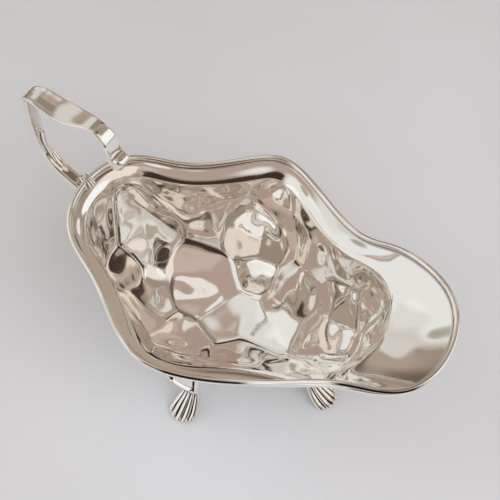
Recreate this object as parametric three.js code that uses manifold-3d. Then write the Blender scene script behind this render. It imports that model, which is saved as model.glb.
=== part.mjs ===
// Sauce boat: a raised body with a broad flange and spout, a reeded rim, a flying scroll
// handle and three shell feet. Millimetres, +X towards the spout, +Z up, z = 0 on the table.
import * as THREE from 'three';
import { mergeVertices } from 'three/addons/utils/BufferGeometryUtils.js';
import Module from 'manifold-3d';

const wasm = await Module();
wasm.setup();

// Clear space left between pieces that are soldered together
const GAP = 0.3;

// Outer edge of the rim, half of it, from the tip of the spout to the middle of the rear
const RIM_HALF = [
  [82.6, 0, 79.4], [75.7, 21.5, 81.6], [60.2, 30.5, 83.9], [45.1, 35.2, 80.3],
  [32.1, 38.9, 72.3], [15.6, 45.6, 67.5], [-4, 54.4, 69.6], [-18.1, 56.5, 73.3],
  [-28.9, 52.3, 73.1], [-43.2, 42.6, 70.1], [-59.3, 32.6, 70.2], [-75.1, 22.7, 74.2],
  [-82.8, 0, 76.8],
];
// Mouth of the bowl, where the flange turns down, one point for each point of the rim
const MOUTH_HALF = [
  [55.5, 0, 68], [54.5, 8.5, 69], [51.5, 16.5, 70], [43.5, 24.5, 69.5],
  [29.5, 30, 65.5], [10.5, 37, 62], [-6.6, 46.2, 63.5], [-18, 48, 66.5],
  [-25, 44.5, 66.3], [-38.4, 35.2, 64.2], [-55.6, 24.9, 64.6], [-69.5, 17.6, 67.6],
  [-76, 0, 70],
];

const SHEET = 1.5;
const SHEET_SETBACK = 1.8;
const FLANGE_SAG = 0.9;
const FLANGE_ROWS = 5;
const BOWL_CENTRE_X = -12.4;
const BOWL_FLOOR = 15.5;
const BOWL_HALF_LENGTH = 54;
const BOWL_HALF_WIDTH = 37;
// Share by which the lower bowl is narrower in front, and wider behind, than in its middle
const BOWL_TAPER = 0.48;
const BOWL_ROUNDNESS = 2.1;
const BOWL_ROWS = 12;
const SHOULDER_BLEND = 0.45;
const BODY_STEPS = 72;

const BEAD_RADIUS = 1.25;
const THREAD_WIDTH = 0.85;
const THREAD_HEIGHT = 0.3;
const RIM_BASE = 0.5;
const RIM_STEPS = 96;

const FOOT_SIDE = { x: -11.9, y: 43.3 };
const FOOT_FRONT_X = 41.4;
const TOE_RIBS = 5;
const RIB_HEIGHT = 1;
// How far the outer toes stand back from the middle one
const TOE_ARC = 2.8;
const KNEE_BORDER = 0.5;
// Middle line of a foot from the knee down to the toes, with its widths and thicknesses:
// outward from the toe tips, up, half width, half thickness, shares of rib and border height
const FOOT_LINE = [
  [-12.6, 37, 5.6, 2.2, 0, 0.6], [-10.4, 32.5, 7, 2.5, 0, 1], [-9, 27.5, 7.4, 2.6, 0, 1],
  [-9.3, 22.5, 6, 2.4, 0, 1], [-11.2, 18.2, 3.6, 2.1, 0, 0.8], [-12.9, 14.6, 2.5, 1.9, 0.2, 0.2],
  [-12.2, 11, 2.8, 1.8, 0.6, 0], [-9.9, 7.6, 3.7, 1.7, 0.9, 0], [-6.6, 4.7, 4.8, 1.6, 1, 0],
  [-3.6, 2.4, 5.6, 1.5, 1, 0], [-1.9, 0, 5.8, 1.3, 1, 0],
];

// Lower bar of the handle: x, z, width, depth
const BAR_LINE = [
  [-78.5, 66.5, 6, 5], [-84.2, 69.2, 5.4, 4.7], [-89, 72, 4.8, 4.4], [-94, 74.8, 4.4, 4.4],
  [-98.8, 78.8, 4.2, 4.6], [-102.2, 85, 4.2, 4.4], [-103.9, 92, 4, 4], [-104.4, 100, 3.8, 3.4],
  [-104.3, 107, 4.6, 3], [-103.4, 113, 6, 2.4],
];
// Top strap of the handle, from its rear end to the rolled scroll: x, z, width, depth, dish
const STRAP_LINE = [
  [-105, 113.2, 6.4, 2, 0], [-102, 116, 8, 1.9, 0.5], [-96.8, 116.6, 9.8, 1.8, 0.9],
  [-91, 114.8, 10.5, 1.8, 0.8], [-84, 113.9, 10.7, 1.9, 0.3], [-77, 114.9, 8.9, 2, 0],
  [-71, 114.7, 6.9, 2.1, 0], [-66.6, 111.8, 7.3, 2.1, 0],
];
const SCROLL = { x: -60, z: 101.8, radius: 2.9, halfWidth: 3.3 };
// The end of the strap, which runs down behind the scroll and in under it, from its middle
const STRAP_END = [
  [-4.2, 5, 8.2, 2, 0], [-0.3 - SCROLL.radius, -0.2, 8, 1.9, 0], [-1, -SCROLL.radius, 7.4, 1.9, 0],
];
// Ridge on the inner face of the bar, ending above in a small spur: x, z, width, depth
const RIDGE_LINE = [
  [-86.6, 72.6, 1.6, 1.4], [-91, 74.6, 1.8, 1.6], [-96.2, 79.2, 1.8, 1.6], [-99.6, 85.4, 1.8, 1.6],
  [-101, 91, 1.8, 1.8], [-100.6, 95, 1.2, 1.4],
];

// Ribbed leaf that laps over the rim from the foot of the handle on to the flange
const LEAF_LINE = [
  [-87, 73.2, 4.6, 1.6], [-85.8, 75.4, 5.8, 2.2], [-83.8, 77, 7.4, 2.8], [-81.6, 77, 8.8, 3],
  [-79.4, 75.4, 8.8, 2.8], [-77.6, 73.3, 6, 2],
];
const LEAF_RIBS = 5;

function closedLine(half) {
  const there = half.map(([x, y, z]) => new THREE.Vector3(x, y, z));
  const back = half.slice(1, -1).reverse().map(([x, y, z]) => new THREE.Vector3(x, -y, z));
  return new THREE.CatmullRomCurve3([...there, ...back], true, 'catmullrom', 0.5);
}

const rimLine = closedLine(RIM_HALF);
const mouthLine = closedLine(MOUTH_HALF);

// Axes of the flange at one place: in towards the bowl, and up square to its surface
function flangeFrame(t) {
  const edge = rimLine.getPoint(t);
  const inward = mouthLine.getPoint(t).sub(edge).normalize();
  const up = new THREE.Vector3().crossVectors(inward, rimLine.getTangent(t)).normalize();
  return { edge, inward, up: up.z < 0 ? up.negate() : up };
}

// A closed solid through a list of rings with equal numbers of points
function loft(rings, looped = false) {
  const count = rings[0].length;
  const position = rings.flat().flatMap((p) => [p.x, p.y, p.z]);
  const index = [];
  const bands = looped ? rings.length : rings.length - 1;
  for (let r = 0; r < bands; r += 1) {
    const next = (r + 1) % rings.length;
    for (let k = 0; k < count; k += 1) {
      const side = (k + 1) % count;
      index.push(r * count + k, r * count + side, next * count + side);
      index.push(r * count + k, next * count + side, next * count + k);
    }
  }
  if (!looped) capEnds(rings, position, index);
  const geometry = new THREE.BufferGeometry();
  geometry.setAttribute('position', new THREE.Float32BufferAttribute(position, 3));
  geometry.setIndex(index);
  return facingOut(geometry);
}

function capEnds(rings, position, index) {
  const count = rings[0].length;
  [[0, true], [rings.length - 1, false]].forEach(([r, first]) => {
    const middle = new THREE.Vector3();
    rings[r].forEach((p) => middle.addScaledVector(p, 1 / count));
    const hub = position.length / 3;
    position.push(middle.x, middle.y, middle.z);
    for (let k = 0; k < count; k += 1) {
      const a = r * count + k;
      const b = r * count + ((k + 1) % count);
      index.push(hub, first ? b : a, first ? a : b);
    }
  });
}

// Turns the faces round if the solid came out inside out
function facingOut(geometry) {
  const p = geometry.attributes.position;
  const index = geometry.index.array;
  const corner = (i) => new THREE.Vector3().fromBufferAttribute(p, index[i]);
  let volume = 0;
  for (let i = 0; i < index.length; i += 3) {
    volume += corner(i).dot(corner(i + 1).cross(corner(i + 2)));
  }
  if (volume < 0) index.reverse();
  return geometry;
}

function toManifold(geometry) {
  const bare = geometry.clone();
  bare.deleteAttribute('normal');
  bare.deleteAttribute('uv');
  const merged = mergeVertices(bare, 1e-4);
  return new wasm.Manifold(new wasm.Mesh({
    numProp: 3,
    vertProperties: new Float32Array(merged.attributes.position.array),
    triVerts: new Uint32Array(merged.index.array),
  }));
}

function toGeometry(manifold) {
  const mesh = manifold.getMesh();
  const geometry = new THREE.BufferGeometry();
  geometry.setAttribute('position', new THREE.BufferAttribute(mesh.vertProperties, 3));
  geometry.setIndex(new THREE.BufferAttribute(mesh.triVerts, 1));
  return geometry;
}

// Points down the inside of the body at one place round it, from the rim to the floor
function insideSection(t) {
  const { edge, inward, up } = flangeFrame(t);
  const mouth = mouthLine.getPoint(t);
  const start = edge.clone().addScaledVector(inward, SHEET_SETBACK).addScaledVector(up, -RIM_BASE - GAP);
  const rows = [];
  for (let r = 0; r <= FLANGE_ROWS; r += 1) {
    const u = r / FLANGE_ROWS;
    const sag = FLANGE_SAG * Math.sin(Math.PI * u);
    rows.push(start.clone().lerp(mouth, u).addScaledVector(up, -sag));
  }
  for (let r = 1; r <= BOWL_ROWS; r += 1) rows.push(bowlPoint(mouth, t, r / (BOWL_ROWS + 0.5)));
  const shoulder = rows[FLANGE_ROWS];
  const beside = rows[FLANGE_ROWS - 1].clone().add(rows[FLANGE_ROWS + 1]).multiplyScalar(0.5);
  shoulder.lerp(beside, SHOULDER_BLEND);
  return rows;
}

// The bowl narrows from the outline of the mouth to an egg shape as it goes down
function bowlPoint(mouth, t, way) {
  const angle = (Math.PI / 2) * way ** 1.5;
  const depth = Math.sin(angle) ** (2 / BOWL_ROUNDNESS);
  const reach = Math.cos(angle) ** (2 / BOWL_ROUNDNESS);
  const ahead = Math.cos(2 * Math.PI * t);
  const width = BOWL_HALF_WIDTH * (1 - BOWL_TAPER * ahead);
  const egg = new THREE.Vector3(
    BOWL_CENTRE_X + BOWL_HALF_LENGTH * ahead, width * Math.sin(2 * Math.PI * t), 0);
  const outline = mouth.clone().setZ(0).lerp(egg, depth);
  const centre = new THREE.Vector3(BOWL_CENTRE_X, 0, 0);
  const point = centre.lerp(outline, reach);
  return point.setZ(mouth.z + (BOWL_FLOOR - mouth.z) * depth);
}

// Rings round the body, from the rim down to the floor, pushed outwards by a distance
function bodyRings(outwards) {
  const inside = [];
  for (let i = 0; i < BODY_STEPS; i += 1) inside.push(insideSection(i / BODY_STEPS));
  const rows = inside[0].length;
  const at = (i, r) => inside[(i + BODY_STEPS) % BODY_STEPS][Math.min(Math.max(r, 0), rows - 1)];
  const rings = [];
  for (let r = 0; r < rows; r += 1) {
    const ring = [];
    for (let i = 0; i < BODY_STEPS; i += 1) {
      const along = at(i + 1, r).clone().sub(at(i - 1, r));
      const down = at(i, r + 1).clone().sub(at(i, r - 1));
      const normal = down.cross(along).normalize();
      ring.push(at(i, r).clone().addScaledVector(normal, outwards));
    }
    rings.push(ring);
  }
  return rings;
}

function bodyGeometry() {
  const inner = bodyRings(0).reverse();
  const outer = bodyRings(SHEET);
  return loft([...inner, ...outer]);
}

// The body grown by the solder gap on both faces, for trimming what laps over it
function bodySkin() {
  return toManifold(loft([...bodyRings(-GAP).reverse(), ...bodyRings(SHEET + GAP)]));
}

// The same with the bowl filled in, for trimming what stands against its outside
function bodyEnvelope() {
  const outer = bodyRings(SHEET + GAP);
  const lid = outer[0].map((p) => p.clone().setZ(p.z + SHEET + GAP));
  return toManifold(loft([lid, ...outer]));
}

// Section of the rim: a half-round bead outside and a fine thread inside, on a flat base
function rimSection() {
  const section = [];
  for (let k = 0; k <= 6; k += 1) {
    const angle = (Math.PI * k) / 6;
    section.push([BEAD_RADIUS * (1 - Math.cos(angle)), BEAD_RADIUS * Math.sin(angle)]);
  }
  const bead = 2 * BEAD_RADIUS;
  section.push([bead + THREAD_WIDTH * 0.35, THREAD_HEIGHT], [bead + THREAD_WIDTH * 0.75, THREAD_HEIGHT]);
  section.push([bead + THREAD_WIDTH, -RIM_BASE], [THREAD_WIDTH * 0.3, -RIM_BASE]);
  return section;
}

function rimGeometry() {
  const section = rimSection();
  const rings = [];
  for (let i = 0; i < RIM_STEPS; i += 1) {
    const { edge, inward, up } = flangeFrame(i / RIM_STEPS);
    rings.push(section.map(([a, b]) => edge.clone().addScaledVector(inward, a).addScaledVector(up, b)));
  }
  return loft(rings, true);
}

// A smooth line through stations of plain numbers, read at any share of its length
function stationLine(stations) {
  const read = (values, s) => {
    const last = values.length - 1;
    const i = Math.min(Math.floor(s * last), last - 1);
    const f = s * last - i;
    const [p0, p1, p2, p3] = [i - 1, i, i + 1, i + 2].map((k) => values[Math.min(Math.max(k, 0), last)]);
    const bend = 2 * p0 - 5 * p1 + 4 * p2 - p3;
    return 0.5 * (2 * p1 + (p2 - p0) * f + bend * f * f + (3 * p1 - 3 * p2 + p3 - p0) * f ** 3);
  };
  const columns = stations[0].map((unused, c) => stations.map((row) => row[c]));
  return (s) => columns.map((values) => read(values, s));
}

// Section of a band, square to its line in the X-Z plane, with the corners rounded off
function bandRing(x, z, normal, width, depth, dish = 0) {
  const corners = [
    [-1, -0.45], [-1, 0.45], [-0.8, 1], [-0.4, 1], [0, 1], [0.4, 1], [0.8, 1],
    [1, 0.45], [1, -0.45], [0.8, -1], [0, -1], [-0.8, -1],
  ];
  return corners.map(([across, over]) => {
    const hollow = dish * (1 - across * across);
    const height = (over * depth) / 2 - hollow;
    return new THREE.Vector3(x + normal.x * height, (across * width) / 2, z + normal.y * height);
  });
}

function bandGeometry(stations, steps) {
  const line = stationLine(stations);
  const rings = [];
  for (let i = 0; i <= steps; i += 1) {
    const s = i / steps;
    const [x, z, width, depth, dish] = line(s);
    const [xa, za] = line(Math.max(s - 0.01, 0));
    const [xb, zb] = line(Math.min(s + 0.01, 1));
    const normal = new THREE.Vector2(za - zb, xb - xa).normalize();
    rings.push(bandRing(x, z, normal, width, depth, dish));
  }
  return loft(rings);
}

// The rolled end of the strap, a short barrel lying across it
function scrollGeometry() {
  const outline = [[0, -1], [0.72, -1], [0.92, -0.8], [1, -0.3], [1, 0.3], [0.92, 0.8], [0.72, 1], [0, 1]];
  const points = outline.map(([r, y]) => new THREE.Vector2(r * SCROLL.radius, y * SCROLL.halfWidth));
  const barrel = new THREE.LatheGeometry(points, 20);
  barrel.translate(SCROLL.x, 0, SCROLL.z);
  return facingOut(mergeVertices(stripped(barrel), 1e-4));
}

function stripped(geometry) {
  geometry.deleteAttribute('normal');
  geometry.deleteAttribute('uv');
  return geometry;
}

// A solid with room for the solder gap behind, before and above it
function withClearance(solid) {
  const moves = [[-GAP, 0, 0], [GAP, 0, 0], [0, 0, GAP]];
  return moves.reduce((sum, move) => sum.add(solid.translate(move)), solid);
}

function handleSolid(around) {
  const bar = toManifold(bandGeometry(BAR_LINE, 26));
  const ridge = toManifold(bandGeometry(RIDGE_LINE, 12));
  const end = STRAP_END.map(([x, z, ...sizes]) => [SCROLL.x + x, SCROLL.z + z, ...sizes]);
  const strap = toManifold(bandGeometry([...STRAP_LINE, ...end], 34));
  const scroll = toManifold(scrollGeometry());
  return bar.add(ridge).add(strap).add(scroll).subtract(around);
}

// A band with ribs along its outer face, and a raised border, for the leaf and the feet
function ribbedRing(place, halfWidth, halfDepth, ribs, ribHeight, border = 0) {
  const ring = [];
  const steps = ribs * 4;
  for (let k = 0; k <= steps; k += 1) {
    const across = (2 * k) / steps - 1;
    const rib = ribHeight * Math.abs(Math.cos((Math.PI * ribs * (across + 1)) / 2 + Math.PI / 2));
    const crown = halfDepth * Math.sqrt(Math.max(1 - across * across * 0.75, 0));
    const bead = border * Math.max(1 - ((Math.abs(across) - 0.85) / 0.15) ** 2, 0);
    ring.push(place(across * halfWidth, crown * 0.8 + rib + bead));
  }
  [0.9, 0.45, 0, -0.45, -0.9].forEach((across) => {
    ring.push(place(across * halfWidth, -halfDepth * (1 - across * across * 0.6)));
  });
  return ring;
}

function leafSolid(around) {
  const line = stationLine(LEAF_LINE);
  const rings = [];
  const steps = 14;
  for (let i = 0; i <= steps; i += 1) {
    const s = i / steps;
    const [x, z, width, depth] = line(s);
    const [xa, za] = line(Math.max(s - 0.02, 0));
    const [xb, zb] = line(Math.min(s + 0.02, 1));
    const normal = new THREE.Vector2(za - zb, xb - xa).normalize();
    const place = (across, over) => new THREE.Vector3(x + normal.x * over, across, z + normal.y * over);
    rings.push(ribbedRing(place, width / 2, depth / 2, LEAF_RIBS, 0.35));
  }
  return toManifold(loft(rings)).subtract(around);
}

// One foot in its own place: +X outwards from the toe tips, its lateral middle on y = 0
function footSolid() {
  const line = stationLine(FOOT_LINE);
  const steps = 24;
  const rings = [];
  for (let i = 0; i <= steps; i += 1) {
    const s = i / steps;
    const [x, z, halfWidth, halfDepth, ribShare, borderShare] = line(s);
    const [xa, za] = line(Math.max(s - 0.01, 0));
    const [xb, zb] = line(Math.min(s + 0.01, 1));
    const onTable = s === 1;
    const normal = onTable ? new THREE.Vector2(1, 0) : new THREE.Vector2(za - zb, xb - xa).normalize();
    const place = (across, over) => new THREE.Vector3(
      x + normal.x * over - TOE_ARC * ribShare * (across / halfWidth) ** 2,
      across, Math.max(onTable ? 0 : z + normal.y * over, 0));
    rings.push(ribbedRing(
      place, halfWidth, halfDepth, TOE_RIBS, RIB_HEIGHT * ribShare, KNEE_BORDER * borderShare));
  }
  return toManifold(loft(rings));
}

function footGeometry(envelope, toeX, toeY, turn) {
  const placed = footSolid().rotate([0, 0, turn]).translate([toeX, toeY, 0]);
  return toGeometry(placed.subtract(envelope));
}

function piece(name, geometry, colour, roughness) {
  const material = new THREE.MeshStandardMaterial({ color: colour, roughness, metalness: 1 });
  const mesh = new THREE.Mesh(geometry, material);
  mesh.name = name;
  return mesh;
}

const envelope = bodyEnvelope();
const rim = rimGeometry();
const around = bodySkin().add(withClearance(toManifold(rim)));
const handle = handleSolid(around);
const leaf = leafSolid(around.add(withClearance(handle)));
const boat = new THREE.Group();
boat.add(
  piece('body', bodyGeometry(), 0xd9d5cf, 0.08),
  piece('rim_moulding', rim, 0xe2dfda, 0.1),
  piece('handle', toGeometry(handle), 0xd8d4cc, 0.1),
  piece('handle_leaf', toGeometry(leaf), 0xdcd9d3, 0.14),
  piece('foot_front', footGeometry(envelope, FOOT_FRONT_X, 0, 0), 0xdcd9d3, 0.14),
  piece('foot_right', footGeometry(envelope, FOOT_SIDE.x, -FOOT_SIDE.y, -90), 0xdcd9d3, 0.14),
  piece('foot_left', footGeometry(envelope, FOOT_SIDE.x, FOOT_SIDE.y, 90), 0xdcd9d3, 0.14),
);

// The origin lies on the table under the middle of the bounding box
const box = new THREE.Box3().setFromObject(boat);
boat.position.x = -(box.min.x + box.max.x) / 2;
boat.updateMatrixWorld(true);

export default boat;
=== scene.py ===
import bpy
import numpy as np
from mathutils import Matrix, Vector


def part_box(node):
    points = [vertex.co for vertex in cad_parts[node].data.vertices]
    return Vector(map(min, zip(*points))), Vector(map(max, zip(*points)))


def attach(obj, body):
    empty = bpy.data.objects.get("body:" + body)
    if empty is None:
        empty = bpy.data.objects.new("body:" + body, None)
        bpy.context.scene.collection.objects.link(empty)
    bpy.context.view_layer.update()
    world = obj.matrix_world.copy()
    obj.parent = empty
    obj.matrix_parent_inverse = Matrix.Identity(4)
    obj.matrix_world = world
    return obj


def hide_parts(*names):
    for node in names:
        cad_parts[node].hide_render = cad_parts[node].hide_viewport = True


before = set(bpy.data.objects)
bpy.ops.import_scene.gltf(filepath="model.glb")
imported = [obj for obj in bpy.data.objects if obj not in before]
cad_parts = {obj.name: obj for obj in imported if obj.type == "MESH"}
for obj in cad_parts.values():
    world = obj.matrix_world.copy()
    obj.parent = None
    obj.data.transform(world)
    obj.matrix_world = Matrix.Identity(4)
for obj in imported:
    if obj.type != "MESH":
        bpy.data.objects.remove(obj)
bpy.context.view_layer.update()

# The body is one raised sheet of silver: a deep bowl, a sloping flange round it and a broad
# spout. It was worked down over stakes with a planishing hammer, which left shallow facets
# inside, and then polished to a mirror.
MM = 0.001
RIM_HALF = [
    (82.6, 0, 79.4), (75.7, 21.5, 81.6), (60.2, 30.5, 83.9), (45.1, 35.2, 80.3),
    (32.1, 38.9, 72.3), (15.6, 45.6, 67.5), (-4, 54.4, 69.6), (-18.1, 56.5, 73.3),
    (-28.9, 52.3, 73.1), (-43.2, 42.6, 70.1), (-59.3, 32.6, 70.2), (-75.1, 22.7, 74.2),
    (-82.8, 0, 76.8),
]
MOUTH_HALF = [
    (55.5, 0, 68), (54.5, 8.5, 69), (51.5, 16.5, 70), (43.5, 24.5, 69.5),
    (29.5, 30, 65.5), (10.5, 37, 62), (-6.6, 46.2, 63.5), (-18, 48, 66.5),
    (-25, 44.5, 66.3), (-38.4, 35.2, 64.2), (-55.6, 24.9, 64.6), (-69.5, 17.6, 67.6),
    (-76, 0, 70),
]
RIM_TUCK = 0.3 * MM
SHEET = 1.4 * MM
SHEET_SETBACK = 1.6 * MM
RIM_BASE = 0.5 * MM
SOLDER_GAP = 0.1 * MM
SAG_RISE = 0.115
FLAT_WIDTH = 14.7 * MM
BOWL_CENTRE_X = -12.4 * MM
BOWL_FLOOR_Z = 15.5 * MM
BOWL_HALF_LENGTH = 54 * MM
BOWL_HALF_WIDTH = 37 * MM
BOWL_TAPER = 0.48
BOWL_ROUNDNESS = 2.1
BOWL_LAST_SHARE = 0.997
BOWL_CROWDING = 1.25
BODY_STEPS = 480
FLANGE_ROWS = 26
BOWL_ROWS = 110
SHOULDER_SPREAD = 1.6
FACET_SPACING = 21 * MM
FACET_SCATTER = 0.42
FACET_RADIUS = 50 * MM
RIDGE_WIDTH = 5.5 * MM
WAVE_LENGTH = (12 * MM, 28 * MM)
WAVE_DEPTH = 0.11 * MM
RIPPLE_LENGTH = (6 * MM, 12 * MM)
RIPPLE_DEPTH = 0.015 * MM
FACET_SEED, WAVE_SEED, RIPPLE_SEED = 6, 11, 12
FLANGE_HAMMERING = 0.05
HAMMERING_START = FLANGE_ROWS - 2
HAMMERING_ROWS = 18

# The frame's origin is the middle of the whole box, and these sizes are read from the middle
# of the rim, so everything is moved along by this much.
shift = np.array([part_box("rim_moulding")[1].x - RIM_HALF[0][0] * MM, 0, 0])


def closed_outline(half, turns):
    """A closed outline through points at equal shares of a turn, mirrored about y = 0. x and z
    are sums of cosines of the turn and its multiples, and y is a sum of sines."""
    points = np.array(half) * MM
    last = len(points) - 1
    multiples = np.arange(last + 1)
    angles = np.pi * multiples / last
    cosines = np.linalg.solve(np.cos(np.outer(angles, multiples)), points[:, [0, 2]])
    sines = np.linalg.solve(np.sin(np.outer(angles[1:-1], multiples[1:-1])), points[1:-1, 1])
    turned = 2 * np.pi * np.outer(turns, multiples)
    x, z = (np.cos(turned) @ cosines).T
    return np.stack([x, np.sin(turned[:, 1:-1]) @ sines, z], axis=1)


def unit(vectors):
    """Each vector over its own length."""
    return vectors / np.linalg.norm(vectors, axis=-1, keepdims=True)


def flange_axes(turns):
    """At each place round the rim: its outer edge, the mouth of the bowl, the way from the one
    to the other, and the way up from the flange, which is the rim's tangent crossed with it."""
    edge = closed_outline(RIM_HALF, turns)
    mouth = closed_outline(MOUTH_HALF, turns)
    inward = unit(mouth - edge)
    tangent = np.roll(edge, -1, axis=0) - np.roll(edge, 1, axis=0)
    return edge + inward * RIM_TUCK, mouth, inward, unit(np.cross(tangent, inward))


def bowl_rows(mouth, turns, rows):
    """Rows down the bowl, crowded near the mouth: depth and reach follow a superellipse from
    there to the floor, and the outline turns into an egg that is widest towards the rear."""
    shares = np.linspace(0, BOWL_LAST_SHARE, rows + 1)[1:, None]
    angle = (np.pi / 2) * shares ** BOWL_CROWDING
    depth = np.sin(angle) ** (2 / BOWL_ROUNDNESS)
    reach = np.cos(angle) ** (2 / BOWL_ROUNDNESS)
    ahead = np.cos(2 * np.pi * turns)
    egg_x = BOWL_CENTRE_X + BOWL_HALF_LENGTH * ahead
    egg_y = BOWL_HALF_WIDTH * (1 - BOWL_TAPER * ahead) * np.sin(2 * np.pi * turns)
    x = BOWL_CENTRE_X + reach * (mouth[:, 0] + (egg_x - mouth[:, 0]) * depth - BOWL_CENTRE_X)
    y = reach * (mouth[:, 1] + (egg_y - mouth[:, 1]) * depth)
    return np.stack([x, y, mouth[:, 2] + (BOWL_FLOOR_Z - mouth[:, 2]) * depth], axis=2)


def eased(rows, spread):
    """Rounds the corners along each section: every row becomes the bell-weighted mean of its
    neighbours, with the ends carried on straight."""
    reach = int(3 * spread)
    weights = np.exp(-0.5 * (np.arange(-reach, reach + 1) / spread) ** 2)
    before = 2 * rows[:1] - rows[reach:0:-1]
    after = 2 * rows[-1:] - rows[-2:-reach - 2:-1]
    padded = np.concatenate([before, rows, after])
    parts = [w * padded[k:k + len(rows)] for k, w in enumerate(weights / weights.sum())]
    return np.sum(parts, axis=0)


def inside_rows(turns, flange_count, bowl_count, spread):
    """Rows down the inside of the body: the flange, then the bowl, with the corner between them
    eased. The flange sags in line with its width over a flat width: it is dished where it is
    wide, at the spout, and a little crowned where it is narrow."""
    edge, mouth, inward, up = flange_axes(turns)
    start = edge + inward * SHEET_SETBACK - up * (RIM_BASE + SOLDER_GAP)
    way = np.linspace(0, 1, flange_count)[:, None, None]
    width = np.linalg.norm(mouth - start, axis=1, keepdims=True)
    sag = SAG_RISE * (width - FLAT_WIDTH)
    flange = start + (mouth - start) * way - up * sag * np.sin(np.pi * way)
    return eased(np.concatenate([flange, bowl_rows(mouth, turns, bowl_count)]), spread)


def grid_normals(rows):
    """Normals of a grid of rows that close round: the way from row to row crossed with the way
    along a row."""
    along = np.roll(rows, -1, axis=1) - np.roll(rows, 1, axis=1)
    return unit(np.cross(np.gradient(rows, axis=0), along))


def facets(points, seed):
    """Flats left by the hammer: the square of the distance to the nearest of a jittered lattice
    of blows, over twice the radius that they flatten. A sum of bells makes the ridges soft."""
    draw = np.random.default_rng(seed)
    low, high = points.min(axis=(0, 1)), points.max(axis=(0, 1)) + FACET_SPACING
    marks = np.meshgrid(*[np.arange(a, b, FACET_SPACING) for a, b in zip(low, high)])
    blows = np.stack(marks, axis=-1).reshape(-1, 3)
    blows += draw.uniform(-FACET_SCATTER, FACET_SCATTER, size=blows.shape) * FACET_SPACING
    squares = ((points ** 2).sum(-1, keepdims=True) + (blows ** 2).sum(-1) - 2 * points @ blows.T)
    nearest = squares.min(axis=-1)
    bells = np.exp((nearest[..., None] - squares) / RIDGE_WIDTH ** 2).sum(axis=-1)
    return (nearest - RIDGE_WIDTH ** 2 * np.log(bells)) / (2 * FACET_RADIUS)


def dents(points, lengths, depth, seed, waves=28):
    """Shallow dents of a given mean depth: a sum of plane waves of random way, length and
    phase, over the square root of half their number."""
    draw = np.random.default_rng(seed)
    ways = unit(draw.normal(size=(waves, 3)))
    numbers = 2 * np.pi / draw.uniform(*lengths, size=waves)
    phases = draw.uniform(0, 2 * np.pi, size=waves)
    return depth * np.sin(points @ (ways * numbers[:, None]).T + phases).sum(-1) / (waves / 2) ** 0.5


def skin_mesh(name, rings, looped=False):
    """One closed skin over rings of points: quads between neighbouring rings, and a fan over
    each end ring unless the last ring meets the first."""
    count, around = rings.shape[:2]
    index = np.arange(count * around).reshape(count, around)
    if looped:
        index = np.vstack([index, index[:1]])
    beside = np.roll(index, -1, axis=1)
    quads = np.stack([index[:-1], beside[:-1], beside[1:], index[1:]], axis=-1).reshape(-1, 4)
    points, faces = rings.reshape(-1, 3), quads.tolist()
    if not looped:
        hubs = np.array([rings[0].mean(axis=0), rings[-1].mean(axis=0)])
        hub = len(points)
        points = np.vstack([points, hubs])
        faces += [(hub, b, a) for a, b in zip(index[0], beside[0])]
        faces += [(hub + 1, a, b) for a, b in zip(index[-1], beside[-1])]
    mesh = bpy.data.meshes.new(name)
    mesh.from_pydata((points + shift).tolist(), [], faces)
    mesh.update()
    if volume(mesh) < 0:
        mesh.flip_normals()
    return mesh


def volume(mesh):
    """Six times the volume inside a closed mesh, negative if its faces point inwards."""
    mesh.calc_loop_triangles()
    corners = np.empty(len(mesh.loop_triangles) * 3, dtype=np.int32)
    mesh.loop_triangles.foreach_get("vertices", corners)
    points = np.empty(len(mesh.vertices) * 3)
    mesh.vertices.foreach_get("co", points)
    a, b, c = points.reshape(-1, 3)[corners.reshape(-1, 3)].transpose(1, 0, 2)
    return np.einsum("ij,ij->", a, np.cross(b, c))


def add_piece(mesh):
    """A smooth-shaded piece made of a mesh."""
    mesh.shade_smooth()
    piece = bpy.data.objects.new(mesh.name, mesh)
    bpy.context.scene.collection.objects.link(piece)
    return piece


turns = np.arange(BODY_STEPS) / BODY_STEPS
inside = inside_rows(turns, FLANGE_ROWS, BOWL_ROWS, SHOULDER_SPREAD)
outward = grid_normals(inside)

# The flange keeps a twentieth of the hammering, and the rest comes in over the first rows of
# the bowl. The outside follows the inside, and every second row is enough for it.
rows_down = np.arange(len(inside)) - HAMMERING_START
in_bowl = np.clip(rows_down / HAMMERING_ROWS, FLANGE_HAMMERING, 1)[:, None]
hammered = (facets(inside, FACET_SEED) + dents(inside, WAVE_LENGTH, WAVE_DEPTH, WAVE_SEED)
            + dents(inside, RIPPLE_LENGTH, RIPPLE_DEPTH, RIPPLE_SEED))
hammered -= hammered.mean()
beaten = (hammered * in_bowl)[:, :, None]
inside_skin = inside + outward * beaten
outside_skin = (inside + outward * (SHEET + beaten))[::2]
body = add_piece(skin_mesh("body_sheet", np.concatenate([inside_skin[::-1], outside_skin])))


def to_linear(code):
    """An sRGB hex colour as linear red, green, blue and alpha."""
    srgb = np.array([int(code[i:i + 2], 16) / 255 for i in (1, 3, 5)])
    low, high = srgb / 12.92, ((srgb + 0.055) / 1.055) ** 2.4
    return (*np.where(srgb <= 0.04045, low, high), 1)


def add_node(tree, kind, inputs=(), **settings):
    """A node with its settings, and its inputs by name or number: a value, or a socket to link."""
    node = tree.nodes.new(kind)
    for key, value in settings.items():
        setattr(node, key, value)
    for key, value in dict(inputs).items():
        if isinstance(value, bpy.types.NodeSocket):
            tree.links.new(value, node.inputs[key])
        else:
            node.inputs[key].default_value = value
    return node


def new_material(name):
    """An empty material and its node tree."""
    material = bpy.data.materials.new(name)
    material.use_nodes = True
    material.node_tree.nodes.clear()
    return material, material.node_tree


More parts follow.
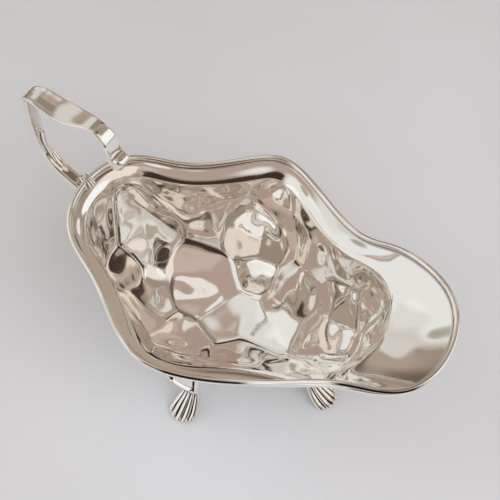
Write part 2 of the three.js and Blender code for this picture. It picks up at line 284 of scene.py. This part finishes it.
# Hand-polished silver: a neutral mirror, a little cloudy where fingers and cloths have been,
# with hair-fine scratches all ways. They are drawn some 0.3 mm wide, coarser than real, to show.
SILVER = "#f6f4f0"
CLOUD_SIZE = 16 * MM
CLOUD_START, CLOUD_FULL = 0.42, 0.7
SCRATCH_WIDTH = 0.3 * MM
SCRATCH_STRETCH = 26
SCRATCH_TURNS = (0.5, 2.1)
SCRATCH_TILT = (0.4, 0.2)
SCRATCH_START, SCRATCH_FULL = 0.62, 0.7
SCRATCH_DEPTH = 0.02 * MM
SCRATCH_STRENGTH = 0.12


def polished_silver(name, smooth, cloudy):
    """Mirror silver: roughness goes between smooth and cloudy with a soft noise, and stretched
    noises crossing at an angle lift the scratches."""
    material, tree = new_material(name)
    place = add_node(tree, "ShaderNodeTexCoord").outputs["Object"]
    clouds = add_node(tree, "ShaderNodeTexNoise",
                      {"Vector": place, "Scale": 1 / CLOUD_SIZE, "Detail": 3, "Roughness": 0.6})
    roughness = add_node(tree, "ShaderNodeMapRange",
                         {"Value": clouds.outputs["Fac"],
                          "From Min": CLOUD_START, "From Max": CLOUD_FULL,
                          "To Min": smooth, "To Max": cloudy})
    height = None
    for turn in SCRATCH_TURNS:
        grain = add_node(tree, "ShaderNodeMapping",
                         {"Vector": place, "Rotation": (*SCRATCH_TILT, turn),
                          "Scale": (1, SCRATCH_STRETCH, SCRATCH_STRETCH)})
        scratch = add_node(tree, "ShaderNodeTexNoise",
                           {"Vector": grain.outputs[0], "Detail": 2,
                            "Scale": 1 / (SCRATCH_WIDTH * SCRATCH_STRETCH)})
        cut = add_node(tree, "ShaderNodeMapRange",
                       {"Value": scratch.outputs["Fac"],
                        "From Min": SCRATCH_START, "From Max": SCRATCH_FULL})
        height = cut if height is None else add_node(
            tree, "ShaderNodeMath", {0: height.outputs[0], 1: cut.outputs[0]}, operation="MAXIMUM")
    bump = add_node(tree, "ShaderNodeBump",
                    {"Height": height.outputs[0], "Strength": SCRATCH_STRENGTH,
                     "Distance": SCRATCH_DEPTH}, invert=True)
    silver = add_node(tree, "ShaderNodeBsdfPrincipled",
                      {"Base Color": to_linear(SILVER), "Metallic": 1,
                       "Roughness": roughness.outputs[0], "Normal": bump.outputs[0]})
    add_node(tree, "ShaderNodeOutputMaterial", {"Surface": silver.outputs[0]})
    return material


body.data.materials.append(
    polished_silver("silver_sheet_polished", smooth=0.02, cloudy=0.055))
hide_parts("body")
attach(body, "root")

# The rim is stiffened by a drawn silver wire, soldered on to the flange all the way round: a
# half-round bead along the outside, and a fine thread inside it with a groove between them.
BEAD_RADIUS = 1.25 * MM
BEAD_POINTS = 15
THREAD_RADIUS = 0.36 * MM
THREAD_SPREAD = 1.1
THREAD_SINK = 0.5
BASE_START = 0.25 * BEAD_RADIUS
WIRE_STEPS = 720

# Painted shade darkens the groove, and a painted dark reflection lies low on two stretches of the
# bead's outer side, each given by its middle and half its length as shares of the way round.
PAINTED_DARK_STRETCHES = [(0.774, 0.036), (0.934, 0.042)]
PAINTED_DARK_FADE = 4
PAINTED_DARK_TOP, PAINTED_DARK_EDGE = 0.7, 0.2
GROOVE_PAINTED_SHADE = 0.7
# The colour of the painted shade and the painted dark reflection on the silver.
PAINTED_SHADE_COLOUR = "#1d1815"


def wire_section():
    """Outline of the wire, as distances in from its outer edge and up from the flange: half a
    circle for the bead, half a smaller one for the thread, and a flat base."""
    half_turn = np.linspace(0, np.pi, BEAD_POINTS)
    bead = np.stack([BEAD_RADIUS * (1 - np.cos(half_turn)), BEAD_RADIUS * np.sin(half_turn)], 1)
    small = half_turn[::2]
    thread = np.stack([2 * BEAD_RADIUS + THREAD_RADIUS * (THREAD_SPREAD - np.cos(small)),
                       THREAD_RADIUS * (np.sin(small) - THREAD_SINK)], 1)
    base_end = 2 * (BEAD_RADIUS + THREAD_RADIUS)
    base = np.array([[base_end, -RIM_BASE], [BASE_START, -RIM_BASE]])
    return np.concatenate([bead, thread, base])


def keep_values(mesh, name, values):
    """Keeps a number at each point of a mesh as an attribute for its material to read."""
    mesh.attributes.new(name, "FLOAT", "POINT").data.foreach_set("value", values.ravel())


def silver_with_painted_shade(name, smooth, cloudy, attribute, unshaded, dark):
    """Polished silver with painted shade: the base colour goes to a dark colour as the attribute
    goes from unshaded to dark."""
    material = polished_silver(name, smooth, cloudy)
    tree = material.node_tree
    shader = next(n for n in tree.nodes if n.type == "BSDF_PRINCIPLED")
    value = add_node(tree, "ShaderNodeAttribute", attribute_name=attribute).outputs["Fac"]
    share = add_node(tree, "ShaderNodeMapRange",
                     {"Value": value, "From Min": unshaded, "From Max": dark})
    colour = add_node(tree, "ShaderNodeMix",
                      {"Factor": share.outputs[0], 6: to_linear(SILVER), 7: to_linear(PAINTED_SHADE_COLOUR)},
                      data_type="RGBA")
    tree.links.new(colour.outputs[2], shader.inputs["Base Color"])
    return material


edge, _, inward, up = flange_axes(np.arange(WIRE_STEPS) / WIRE_STEPS)
section = wire_section()
wire = edge[:, None] + inward[:, None] * section[:, :1] + up[:, None] * section[:, 1:]
rim = add_piece(skin_mesh("rim_wire", wire, looped=True))
# Painted dark reflection: how far each place round the wire lies inside the two stretches, and how
# low each point of the section lies on the bead's outer side.
places = np.arange(WIRE_STEPS)[:, None] / WIRE_STEPS
stretch = sum(np.clip(PAINTED_DARK_FADE * (1 - np.abs(places - middle) / half), 0, 1)
              for middle, half in PAINTED_DARK_STRETCHES)
order = np.arange(len(section))
height = np.where(order <= BEAD_POINTS // 2, section[:, 1] / BEAD_RADIUS, 1)
outer_side = np.clip((PAINTED_DARK_TOP - height) / PAINTED_DARK_EDGE, 0, 1)

# The groove, darkened with painted shade, is the last two points of the bead and the first two of
# the thread.
in_groove = (order >= BEAD_POINTS - 2) & (order < BEAD_POINTS + 2)
keep_values(rim.data, "painted_dark", np.maximum(stretch * outer_side, GROOVE_PAINTED_SHADE * in_groove))
rim.data.materials.append(silver_with_painted_shade(
    "silver_wire_drawn", smooth=0.03, cloudy=0.08, attribute="painted_dark", unshaded=0, dark=1))
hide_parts("rim_moulding")
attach(rim, "root")

# The handle is one casting, filed up and polished: a lower bar that springs from the rim, with
# a ridge on its inner face, and a strap above it, dished for the thumb and rolled at its end.
BAR_LINE = [
    (-79, 66.8, 6, 5), (-84.2, 69.2, 5.9, 4.7), (-89, 72, 5.8, 4.4), (-94, 74.8, 5.8, 4.4),
    (-98.8, 78.8, 5.9, 4.6), (-102.2, 85, 6, 4.4), (-103.9, 92, 6, 4),
    (-104.4, 100, 5.9, 3.4), (-104.3, 107, 6, 3), (-103.4, 113, 6.4, 2.4),
]
STRAP_LINE = [
    (-105, 113.2, 6.4, 2, 0), (-102, 115.9, 8, 1.9, 0.5), (-96.8, 116.4, 9.8, 1.8, 0.9),
    (-91, 114.8, 10.5, 1.8, 0.8), (-84, 113.9, 10.7, 1.9, 0.3), (-77, 114.4, 8.9, 2, 0),
    (-71, 114.7, 6.9, 2.1, 0), (-66.6, 111.8, 7.3, 2.1, 0), (-64.2, 106.8, 8.2, 2, 0),
    (-63, 101.6, 8, 2.6, 0), (-61, 98.9, 7.4, 2.4, 0),
]
RIDGE_LINE = [
    (-86.6, 72.6, 1.6, 1.4), (-91, 74.6, 1.8, 1.6), (-96.2, 79.2, 1.8, 1.6),
    (-99.6, 85.4, 1.8, 1.6), (-101, 91, 1.8, 1.8), (-100.6, 95, 1.2, 1.4),
]
BAR_SQUARENESS, STRAP_SQUARENESS, RIDGE_SQUARENESS = 4.6, 6, 2.4
SCROLL_X, SCROLL_Z = -61.2 * MM, 100.9 * MM
SCROLL_RADIUS, SCROLL_HALF_WIDTH = 3 * MM, 3.5 * MM
SCROLL_TAPER = 0.35
CASTING_VOXEL = 0.2 * MM
CORE_STEPS, CORE_FLANGE_ROWS, CORE_BOWL_ROWS = 160, 12, 40
CORE_SHOULDER_SPREAD = 0.8


def spline(stations, shares):
    """A natural cubic spline through evenly spaced stations: the second derivatives solve the
    usual three-term equations, and each span is read from its two ends."""
    values = np.array(stations, dtype=float) * MM
    count = len(values)
    matrix = np.eye(count)
    inner = np.arange(1, count - 1)
    matrix[inner, inner - 1], matrix[inner, inner], matrix[inner, inner + 1] = 1, 4, 1
    bends = np.zeros_like(values)
    bends[1:-1] = 6 * (values[2:] - 2 * values[1:-1] + values[:-2])
    bends = np.linalg.solve(matrix, bends)
    place = np.asarray(shares) * (count - 1)
    i = np.minimum(place.astype(int), count - 2)
    b = (place - i)[:, None]
    a = 1 - b
    curve = ((a ** 3 - a) * bends[i] + (b ** 3 - b) * bends[i + 1]) / 6
    return a * values[i] + b * values[i + 1] + curve


def line_normals(line):
    """Normals in the X-Z plane of a line of x and z: its tangent turned by a right angle."""
    tangent = unit(np.gradient(line[:, :2], axis=0))
    return np.stack([-tangent[:, 1], tangent[:, 0]], axis=1)


def band(stations, steps, squareness, around=40):
    """A band carried along stations of x, z, width, depth and dish. Its section is a rounded
    oblong, a superellipse, and the dish presses its middle down along the normal."""
    line = spline(stations, np.linspace(0, 1, steps))
    normals = line_normals(line)
    angle = np.linspace(0, 2 * np.pi, around, endpoint=False)
    across = np.sign(np.cos(angle)) * np.abs(np.cos(angle)) ** (2 / squareness)
    over = np.sign(np.sin(angle)) * np.abs(np.sin(angle)) ** (2 / squareness)
    dish = line[:, 4:5] if line.shape[1] > 4 else np.zeros((steps, 1))
    height = over * line[:, 3:4] / 2 - dish * (1 - across ** 2)
    x = line[:, :1] + normals[:, :1] * height
    z = line[:, 1:2] + normals[:, 1:] * height
    return np.stack([x, across * line[:, 2:3] / 2, z], axis=2)


def barrel(steps=25, around=48):
    """The rolled end: circles across the strap, whose radius falls away towards both ends as
    the sixth power of the way there."""
    share = np.linspace(-1, 1, steps)
    radius = SCROLL_RADIUS * (1 - np.abs(share) ** 6 * SCROLL_TAPER)
    angle = np.linspace(0, 2 * np.pi, around, endpoint=False)
    x = SCROLL_X + radius[:, None] * np.cos(angle)
    y = np.repeat(share[:, None] * SCROLL_HALF_WIDTH, around, axis=1)
    z = SCROLL_Z + radius[:, None] * np.sin(angle)
    return np.stack([x, y, z], axis=2)


def modified(mesh, add_modifiers):
    """The mesh that a temporary object gives once modifiers have been added to it."""
    rough = bpy.data.objects.new(mesh.name + "_rough", mesh)
    bpy.context.scene.collection.objects.link(rough)
    add_modifiers(rough)
    seen = rough.evaluated_get(bpy.context.evaluated_depsgraph_get())
    result = bpy.data.meshes.new_from_object(seen)
    result.name = mesh.name
    bpy.data.objects.remove(rough)
    bpy.data.meshes.remove(mesh)
    return result


def joined(name, parts):
    """One mesh of several, with their points and faces one after another."""
    points, faces, start = [], [], 0
    for part in parts:
        flat = np.empty(len(part.vertices) * 3)
        part.vertices.foreach_get("co", flat)
        points.append(flat.reshape(-1, 3))
        faces += [[start + v for v in face.vertices] for face in part.polygons]
        start += len(part.vertices)
        bpy.data.meshes.remove(part)
    mesh = bpy.data.meshes.new(name)
    mesh.from_pydata(np.concatenate(points).tolist(), [], faces)
    return mesh


def cast(name, parts, voxel, relaxing):
    """Several closed meshes as one casting: they are skinned again at the voxel size and
    relaxed, so that filed fillets are left where they meet."""
    def skin(rough):
        remesh = rough.modifiers.new("skin", "REMESH")
        remesh.mode = "VOXEL"
        remesh.voxel_size = voxel
        relax = rough.modifiers.new("relax", "SMOOTH")
        relax.factor = 0.5
        relax.iterations = relaxing
    return modified(joined(name, parts), skin)


def fitted(mesh):
    """The mesh with what lies inside the bowl or within half its sheet cut away, as a piece
    is filed to sit against the body. The core that cuts it has fewer rows than the bowl."""
    turns = np.arange(CORE_STEPS) / CORE_STEPS
    rows = inside_rows(turns, CORE_FLANGE_ROWS, CORE_BOWL_ROWS, CORE_SHOULDER_SPREAD)
    shell = rows + grid_normals(rows) * SHEET / 2
    lid = shell[:1] + np.array([0, 0, SHEET])
    core = add_piece(skin_mesh("bowl_core", np.concatenate([lid, shell])))

    def cut(rough):
        trim = rough.modifiers.new("trim", "BOOLEAN")
        trim.operation = "DIFFERENCE"
        trim.solver = "EXACT"
        trim.object = core
    result = modified(mesh, cut)
    core_mesh = core.data
    bpy.data.objects.remove(core)
    bpy.data.meshes.remove(core_mesh)
    return result


def mark_hollows(mesh, rounds=14):
    """Keeps how hollow each point is, in millimetres, as an attribute: the mean of the points
    around it, taken over several rounds of neighbours, less its own place, along its normal."""
    count = len(mesh.vertices)
    points, normals = np.empty(count * 3), np.empty(count * 3)
    mesh.vertices.foreach_get("co", points)
    mesh.vertices.foreach_get("normal", normals)
    ends = np.empty(len(mesh.edges) * 2, dtype=np.int32)
    mesh.edges.foreach_get("vertices", ends)
    a, b = ends.reshape(-1, 2).T
    degree = np.bincount(a, minlength=count) + np.bincount(b, minlength=count)
    spread = points.reshape(-1, 3)
    for _ in range(rounds):
        spread = np.stack([(np.bincount(a, c[b], count) + np.bincount(b, c[a], count)) / degree
                           for c in spread.T], axis=1)
    rise = ((spread - points.reshape(-1, 3)) * normals.reshape(-1, 3)).sum(axis=1) / MM
    keep_values(mesh, "hollow", rise)


handle_parts = [
    skin_mesh("bar", band(BAR_LINE, 140, BAR_SQUARENESS)),
    skin_mesh("strap", band(STRAP_LINE, 200, STRAP_SQUARENESS)),
    skin_mesh("ridge", band(RIDGE_LINE, 60, RIDGE_SQUARENESS)),
    skin_mesh("scroll", barrel()),
]
handle = add_piece(fitted(cast("handle_casting", handle_parts, CASTING_VOXEL, 5)))
mark_hollows(handle.data)

# Cast silver is the same metal with a softer polish, with painted shade darkening its hollows.
HOLLOW_UNSHADED, HOLLOW_DARK = 0.04, 0.14
handle.data.materials.append(silver_with_painted_shade(
    "silver_casting_smooth", smooth=0.03, cloudy=0.08, attribute="hollow",
    unshaded=HOLLOW_UNSHADED, dark=HOLLOW_DARK))
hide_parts("handle")
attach(handle, "root")

# A small cast leaf of five round lobes is soldered over the root of the handle, and laps over
# the rim wire on to the flange.
LOBE_LINE = [
    (-85.4, 74.6, 0.15, 0.5), (-84.2, 76.4, 0.25, 0.55), (-82.6, 77.4, 0.42, 0.62),
    (-80.8, 76.7, 0.66, 0.72), (-79.3, 75.2, 0.88, 0.8), (-78.1, 74, 1.02, 0.78),
]
LOBES = 5
LOBE_SPREAD = 2.7 * MM
LOBE_BACKSET = 1.8 * MM
LEAF_VOXEL = 0.12 * MM
LOBE_UNSHADED, LOBE_DARK = 0.01, 0.045
DOME_END = 0.995
NEARLY_ACROSS = (0.02, 1, 0.01)


def carried(path, radii, around=20):
    """A round rod along a path, its ends closed as domes: circles square to the path, with the
    radius falling as a quarter circle over the last radius at each end."""
    length = np.concatenate([[0], np.cumsum(np.linalg.norm(np.diff(path, axis=0), axis=1))])
    from_end = np.minimum(length, length[-1] - length)
    dome = np.sqrt(1 - np.clip(1 - from_end / radii, 0, DOME_END) ** 2)
    tangent = unit(np.gradient(path, axis=0))
    side = unit(np.cross(tangent, NEARLY_ACROSS))
    over = np.cross(side, tangent)
    angle = np.linspace(0, 2 * np.pi, around, endpoint=False)[:, None]
    circle = side[:, None] * np.cos(angle) + over[:, None] * np.sin(angle)
    return path[:, None] + circle * (radii * dome)[:, None, None]


def fan_of_rods(name, line, count, spread, backset, steps=70):
    """Rods side by side, along stations of x, z, share of the spread and radius. Each runs out
    sideways in line with its place in the fan, and stands back by the square of that place."""
    path = spline(line, np.linspace(0, 1, steps))
    share = path[:, 2] / MM
    rods = []
    for place in np.linspace(-1, 1, count):
        x = path[:, 0] - backset * place ** 2 * share
        route = np.stack([x, spread * place * share, path[:, 1]], axis=1)
        rods.append(skin_mesh(f"{name}_{len(rods)}", carried(route, path[:, 3])))
    return rods


lobes = fan_of_rods("lobe", LOBE_LINE, LOBES, LOBE_SPREAD, LOBE_BACKSET)
leaf = add_piece(cast("leaf_casting", lobes, LEAF_VOXEL, 3))
mark_hollows(leaf.data)

# The furrows between lobes and between toes are narrow, so painted shade darkens them where they
# are less hollow than those of the handle.
cast_lobed = silver_with_painted_shade(
    "silver_casting_lobed", smooth=0.03, cloudy=0.07, attribute="hollow",
    unshaded=LOBE_UNSHADED, dark=LOBE_DARK)
leaf.data.materials.append(cast_lobed)
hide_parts("handle_leaf")
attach(leaf, "root")

# Three cast feet are soldered to the bowl: one under the spout and one on each side. Each has
# a broad bordered knee, a thin neck and a fan of five round toes that ends on the table. A
# foot is given by where its middle toe ends, and by its turn in degrees.
KNEE_LINE = [
    (-12.6, 37, 5.6, 2.2, 0.6), (-10.2, 32.8, 7, 2.4, 1), (-8.6, 28.8, 7.6, 2.4, 1),
    (-7.8, 25.2, 7.6, 2.2, 1), (-8.8, 22.2, 5.8, 1.7, 1), (-11, 19.4, 2.9, 1.3, 0.6),
    (-12.8, 16.4, 2, 1, 0.2), (-13.2, 13, 1.7, 0.8, 0),
]
TOE_LINE = [
    (-12.4, 18.6, 0.26, 0.4), (-12.9, 16.2, 0.3, 0.5), (-12.6, 13.4, 0.38, 0.65),
    (-11.2, 10, 0.52, 0.95), (-8.4, 6.6, 0.74, 1.25), (-5.2, 3.8, 0.92, 1.45),
    (-2.4, 1.9, 1, 1.5), (0, 1.2, 1.02, 1.5),
]
TOES = 5
TOE_SPREAD = 4.9 * MM
TOE_BACKSET = 2.6 * MM
BORDER_HEIGHT = 0.9 * MM
BORDER_PLACE, BORDER_SPREAD = 0.88, 0.08
GROOVE_PLACE, GROOVE_SPREAD = 0.68, 0.09
LIP_PLACE, LIP_SPREAD = 0.48, 0.022
LIP_GROOVE_PLACE, LIP_GROOVE_SPREAD = LIP_PLACE - 0.06, 0.024
FRONT_CROWN, FRONT_FILL = 0.75, 0.8
BACK_CROWN, BACK_EDGE = 0.9, 0.96
FOOT_VOXEL = 0.16 * MM
FEET = [("foot_front", 41.4 * MM, 0, 0), ("foot_right", -12.9 * MM, -43.3 * MM, -90),
        ("foot_left", -12.9 * MM, 43.3 * MM, 90)]


def bell(values, middle, spread):
    """A bell curve of the values' distance from its middle."""
    return np.exp(-((values - middle) / spread) ** 2)


def knee_rings(steps=120, across_front=90, across_back=30):
    """The knee and neck: a crowned plate along stations of x, z, half width, half depth and
    border share. A bell-shaped bead follows each edge and crosses the plate low down as a lip,
    with a bell-shaped groove inside it."""
    line = spline(KNEE_LINE, np.linspace(0, 1, steps))
    normals = line_normals(line)
    across = np.linspace(-1, 1, across_front)
    bead = bell(np.abs(across), BORDER_PLACE, BORDER_SPREAD)
    groove = bell(np.abs(across), GROOVE_PLACE, GROOVE_SPREAD)
    along = np.linspace(0, 1, steps)[:, None]
    lip = bell(along, LIP_PLACE, LIP_SPREAD)
    lip_groove = bell(along, LIP_GROOVE_PLACE, LIP_GROOVE_SPREAD)
    cuts = np.maximum(groove * (1 - lip), lip_groove * (1 - bead))
    border = BORDER_HEIGHT * line[:, 4:5] / MM * (np.maximum(bead, lip) - cuts)
    front = line[:, 3:4] * np.sqrt(1 - FRONT_CROWN * across ** 2) * FRONT_FILL + border
    back_across = np.linspace(BACK_EDGE, -BACK_EDGE, across_back)
    back = -line[:, 3:4] * np.sqrt(1 - BACK_CROWN * back_across ** 2)
    side = np.concatenate([across, back_across])
    over = np.concatenate([front, back], axis=1)
    x = line[:, :1] + normals[:, :1] * over
    z = line[:, 1:2] + normals[:, 1:] * over
    return np.stack([x, side * line[:, 2:3], z], axis=2)


def standing(mesh):
    """The mesh with every point below the table lifted on to it, as a sole is filed flat."""
    points = np.empty(len(mesh.vertices) * 3)
    mesh.vertices.foreach_get("co", points)
    points[2::3] = np.maximum(points[2::3], 0)
    mesh.vertices.foreach_set("co", points)
    mesh.update()
    return mesh


def placed(mesh, x, y, angle):
    """The mesh turned about the vertical axis and moved to its place under the bowl."""
    back = Matrix.Translation((-shift[0], 0, 0))
    there = Matrix.Translation((x + shift[0], y, 0))
    mesh.transform(there @ Matrix.Rotation(np.radians(angle), 4, "Z") @ back)
    mesh.update()
    return mesh


toes = fan_of_rods("toe", TOE_LINE, TOES, TOE_SPREAD, TOE_BACKSET)
foot_parts = [skin_mesh("knee", knee_rings()), *toes]
foot = standing(cast("foot_casting", foot_parts, FOOT_VOXEL, 3))
for name, x, y, angle in FEET:
    copy = foot.copy()
    copy.name = name + "_casting"
    piece = add_piece(fitted(placed(copy, x, y, angle)))
    # The feet share the leaf's silver, with painted shade in the furrows between the toes.
    mark_hollows(piece.data)
    piece.data.materials.append(cast_lobed)
    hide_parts(name)
    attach(piece, "root")
bpy.data.meshes.remove(foot)

# The floor is a pale cotton cloth, laid flat on a table and pulled smooth. It is taken as plain
# and far wider than the view.
FLOOR_CORNER = 3.0
CLOTH_SHADE_SIZE = 125 * MM
CLOTH_DARKER, CLOTH_LIGHTER = "#d2d3d5", "#dfe1e5"
CORNER_SIGNS = ((-1, -1), (1, -1), (1, 1), (-1, 1))
floor_corners = [(x * FLOOR_CORNER, y * FLOOR_CORNER, 0) for x, y in CORNER_SIGNS]
floor_mesh = bpy.data.meshes.new("floor")
floor_mesh.from_pydata(floor_corners, [], [(0, 1, 2, 3)])
floor = bpy.data.objects.new("floor", floor_mesh)
bpy.context.scene.collection.objects.link(floor)

# Washed cotton is matt and scatters light evenly, so only a slow change of shade shows on it.
cloth, tree = new_material("cotton_cloth_plain")
place = add_node(tree, "ShaderNodeTexCoord").outputs["Object"]
shade = add_node(tree, "ShaderNodeTexNoise",
                 {"Vector": place, "Scale": 1 / CLOTH_SHADE_SIZE, "Detail": 2})
tone = add_node(tree, "ShaderNodeMix",
                {"Factor": shade.outputs["Fac"],
                 6: to_linear(CLOTH_DARKER), 7: to_linear(CLOTH_LIGHTER)}, data_type="RGBA")
cotton = add_node(tree, "ShaderNodeBsdfPrincipled",
                  {"Base Color": tone.outputs[2], "Roughness": 0.9, "Specular IOR Level": 0.2})
add_node(tree, "ShaderNodeOutputMaterial", {"Surface": cotton.outputs[0]})
floor_mesh.materials.append(cloth)

# The light is that of a pale room, drawn as patches round the boat: beige walls on a dark
# skirting, a rosy ceiling, and brighter and darker sides. The skirting fades into the wall
# between two heights, each the sine of an elevation.
WALLS, WALLS_IN_SHADE = "#b4a79a", "#9f9184"
BLOTCH_SCALE, BLOTCH_DARK, BLOTCH_LIGHT = 2.6, 0.46, 0.54
SKIRTING = "#3e342e"
SKIRTING_TOP, WALL_FOOT = 0.03, 0.08
SWAY, SWAY_SCALE = 0.2, 3.5

# A patch has a place by azimuth and elevation, how far it reaches and how soft its edge is, all
# in degrees, and its colour. The skirting hides the foot of the windows, not that of the sides.
WINDOWS = [
    (-145, 35, 56, 14, "#ececea"), (-151, 60, 14, 8, "#f4f4f3"), (-112, 20, 19, 5, "#ffffff"),
    (-105, 72, 9, 2, "#a59b8c"), (-125, 54, 7, 1, "#b7ab9c"),
]
SIDES = [
    (0, 90, 34, 12, "#b5a096"), (112, 12, 38, 10, "#b09f90"), (-58, 33, 19, 4, "#40312b"),
    (8, 36, 25, 4, "#f1e5dc"), (-24, 58, 12, 4, "#c9b5aa"), (-178, 61, 19, 10, "#e2e1de"),
    (171, 31, 9, 8, "#aaa698"), (102, 56, 16, 8, "#938b7c"), (117, 80, 9, 8, "#d8d6d0"),
    (132, 0, 27, 25, "#6f6055"), (150, 48, 18, 14, "#d2cdc8"), (137, 45, 15, 7, "#d6d4d0"),
    (32, 12, 19, 3, "#ffffff"), (40, 60, 11, 2, "#6f6458"), (62, 28, 9, 2, "#efe9e2"),
    (78, 48, 9, 2, "#4a3a34"), (-38, 38, 5, 1, "#57483f"), (20, 76, 7, 1, "#efe9e4"),
]


def patched(tree, way, room, patches):
    """The colour of the room with patches laid over it in turn: each shows where the cosine of
    the angle from its middle is high enough, with a smooth edge."""
    for azimuth, elevation, reach, softness, colour in patches:
        a, e = np.radians([azimuth, elevation])
        middle = (np.cos(a) * np.cos(e), np.sin(a) * np.cos(e), np.sin(e))
        nearness = add_node(tree, "ShaderNodeVectorMath", {0: way, 1: middle},
                            operation="DOT_PRODUCT")
        share = add_node(tree, "ShaderNodeMapRange",
                         {"Value": nearness.outputs["Value"],
                          "From Min": np.cos(np.radians(reach)),
                          "From Max": np.cos(np.radians(max(reach - softness, 0)))},
                         interpolation_type="SMOOTHSTEP")
        room = add_node(tree, "ShaderNodeMix",
                        {"Factor": share.outputs[0], 6: room.outputs[2], 7: to_linear(colour)},
                        data_type="RGBA")
    return room


world = bpy.data.worlds.new("pale_room")
bpy.context.scene.world = world
world.use_nodes = True
tree = world.node_tree
tree.nodes.clear()
way = add_node(tree, "ShaderNodeTexCoord").outputs["Generated"]

# Noise moves the way that is looked up a little, so that no patch is a true circle.
sway = add_node(tree, "ShaderNodeTexNoise", {"Vector": way, "Scale": SWAY_SCALE, "Detail": 0})
sway = add_node(tree, "ShaderNodeVectorMath",
                {0: sway.outputs["Color"], 1: (0.5, 0.5, 0.5)}, operation="SUBTRACT")
sway = add_node(tree, "ShaderNodeVectorMath",
                {0: sway.outputs["Vector"], "Scale": SWAY}, operation="SCALE")
swayed = add_node(tree, "ShaderNodeVectorMath", {0: way, 1: sway.outputs["Vector"]})
swayed = add_node(tree, "ShaderNodeVectorMath", {0: swayed.outputs["Vector"]},
                  operation="NORMALIZE").outputs["Vector"]
blotch = add_node(tree, "ShaderNodeTexNoise",
                  {"Vector": way, "Scale": BLOTCH_SCALE, "Detail": 3})
spread = add_node(tree, "ShaderNodeMapRange",
                  {"Value": blotch.outputs["Fac"],
                   "From Min": BLOTCH_DARK, "From Max": BLOTCH_LIGHT})
room = add_node(tree, "ShaderNodeMix",
                {"Factor": spread.outputs[0], 6: to_linear(WALLS_IN_SHADE), 7: to_linear(WALLS)},
                data_type="RGBA")
room = patched(tree, swayed, room, WINDOWS)
rise = add_node(tree, "ShaderNodeSeparateXYZ", {0: way}).outputs["Z"]
above = add_node(tree, "ShaderNodeMapRange",
                 {"Value": rise, "From Min": SKIRTING_TOP, "From Max": WALL_FOOT})
room = add_node(tree, "ShaderNodeMix",
                {"Factor": above.outputs[0], 6: to_linear(SKIRTING), 7: room.outputs[2]},
                data_type="RGBA")
room = patched(tree, swayed, room, SIDES)
background = add_node(tree, "ShaderNodeBackground", {"Color": room.outputs[2], "Strength": 1})
add_node(tree, "ShaderNodeOutputWorld", {"Surface": background.outputs[0]})


def add_panel(name, place, aim, size, power, colour):
    """A soft oblong lamp at a place, facing a point. It lights the cloth; the silver shows the
    patches of the room instead of it."""
    lamp = bpy.data.lights.new(name, "AREA")
    lamp.shape = "RECTANGLE"
    lamp.size, lamp.size_y = size
    lamp.energy = power
    lamp.color = to_linear(colour)[:3]
    panel = bpy.data.objects.new(name, lamp)
    away = unit(np.array(place) - np.array(aim))
    side = unit(np.cross((0, 0, 1), away))
    turned = np.stack([side, np.cross(away, side), away, place], axis=1)
    panel.matrix_world = Matrix(np.vstack([turned, (0, 0, 0, 1)]).tolist())
    panel.visible_glossy = False
    bpy.context.scene.collection.objects.link(panel)


add_panel("window_panel", place=(-1.0, -0.4, 0.8), aim=(0, 0, 0.05), size=(1.0, 0.9),
          power=1, colour="#ffffff")
add_panel("front_panel", place=(0.8, -0.5, 0.9), aim=(0.1, 0, 0), size=(1.2, 1.2),
          power=12, colour="#f6f9ff")

# Silver reflects silver inside the bowl many times over, so light is followed that far.
SILVER_BOUNCES = 14
bpy.context.scene.cycles.glossy_bounces = SILVER_BOUNCES
bpy.context.scene.cycles.max_bounces = SILVER_BOUNCES

# The camera stands where the rim's outline in the photograph puts it, by azimuth, elevation
# and a slight roll.
CAMERA_PLACE = np.array([116.2, -188.7, 394.9]) * MM
CAMERA_AZIMUTH, CAMERA_ELEVATION, CAMERA_ROLL = np.radians([32.09, 54.31, -0.34])
FOCAL_PIXELS = 1000
FRAME_PIXELS = 500
lens = bpy.data.cameras.new("photo_camera")
lens.lens = FOCAL_PIXELS / FRAME_PIXELS * lens.sensor_width
lens.clip_start = 0.01
camera = bpy.data.objects.new("photo_camera", lens)
back = np.array([np.sin(CAMERA_AZIMUTH) * np.cos(CAMERA_ELEVATION),
                 -np.cos(CAMERA_AZIMUTH) * np.cos(CAMERA_ELEVATION), np.sin(CAMERA_ELEVATION)])
level = np.array([np.cos(CAMERA_AZIMUTH), np.sin(CAMERA_AZIMUTH), 0])
upright = np.cross(back, level)
right = level * np.cos(CAMERA_ROLL) + upright * np.sin(CAMERA_ROLL)
turned = np.stack([right, np.cross(back, right), back, CAMERA_PLACE + shift], axis=1)
camera.matrix_world = Matrix(np.vstack([turned, (0, 0, 0, 1)]).tolist())
bpy.context.scene.collection.objects.link(camera)
bpy.context.scene.camera = camera
bpy.context.scene.view_settings.view_transform = "Standard"
